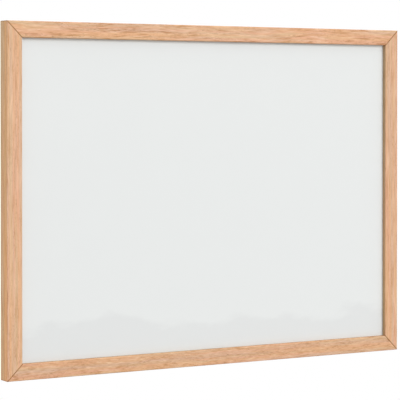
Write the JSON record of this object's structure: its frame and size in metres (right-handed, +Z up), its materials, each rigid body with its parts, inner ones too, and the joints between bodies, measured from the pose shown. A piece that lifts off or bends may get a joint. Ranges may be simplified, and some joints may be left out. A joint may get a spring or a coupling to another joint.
{
  "type": "magnetic board",
  "caption": "Rectangular magnetic writing board with a white coated steel face in a narrow mitred oak frame, made to hang on a wall by keyhole plates.",
  "frame": {"origin": "on the wall plane, at the middle of the back of the top rail", "axes": "+X along the width, +Y from the front to the wall, +Z up as the board hangs"},
  "size_m": [0.6, 0.02, 0.45],
  "materials": {
    "oak": "light natural oak, thin satin oil, fine straight grain along each member",
    "white_enamel": "smooth glossy white enamel on steel",
    "fibreboard": "raw medium density fibreboard",
    "grey_card": "uncoated grey card",
    "nail_steel": "hard bright steel strip",
    "point_steel": "bright steel strip",
    "zinc_plate": "zinc plated steel, stamped",
    "screw_steel": "zinc plated steel"
  },
  "bodies": {
    "root": {"top_rail": "oak", "bottom_rail": "oak", "left_stile": "oak", "right_stile": "oak", "writing_sheet": "white_enamel", "core_board": "fibreboard", "backing_liner": "grey_card", "top_left_outer_nail": "nail_steel", "top_left_inner_nail": "nail_steel", "top_right_outer_nail": "nail_steel", "top_right_inner_nail": "nail_steel", "bottom_left_outer_nail": "nail_steel", "bottom_left_inner_nail": "nail_steel", "bottom_right_outer_nail": "nail_steel", "bottom_right_inner_nail": "nail_steel", "top_rail_point_1": "point_steel", "top_rail_point_2": "point_steel", "top_rail_point_3": "point_steel", "bottom_rail_point_1": "point_steel", "bottom_rail_point_2": "point_steel", "bottom_rail_point_3": "point_steel", "left_stile_point_1": "point_steel", "left_stile_point_2": "point_steel", "right_stile_point_1": "point_steel", "right_stile_point_2": "point_steel", "left_hanger_plate": "zinc_plate", "right_hanger_plate": "zinc_plate", "left_upper_screw": "screw_steel", "left_lower_screw": "screw_steel", "right_upper_screw": "screw_steel", "right_lower_screw": "screw_steel"}
  },
  "joints": []
}
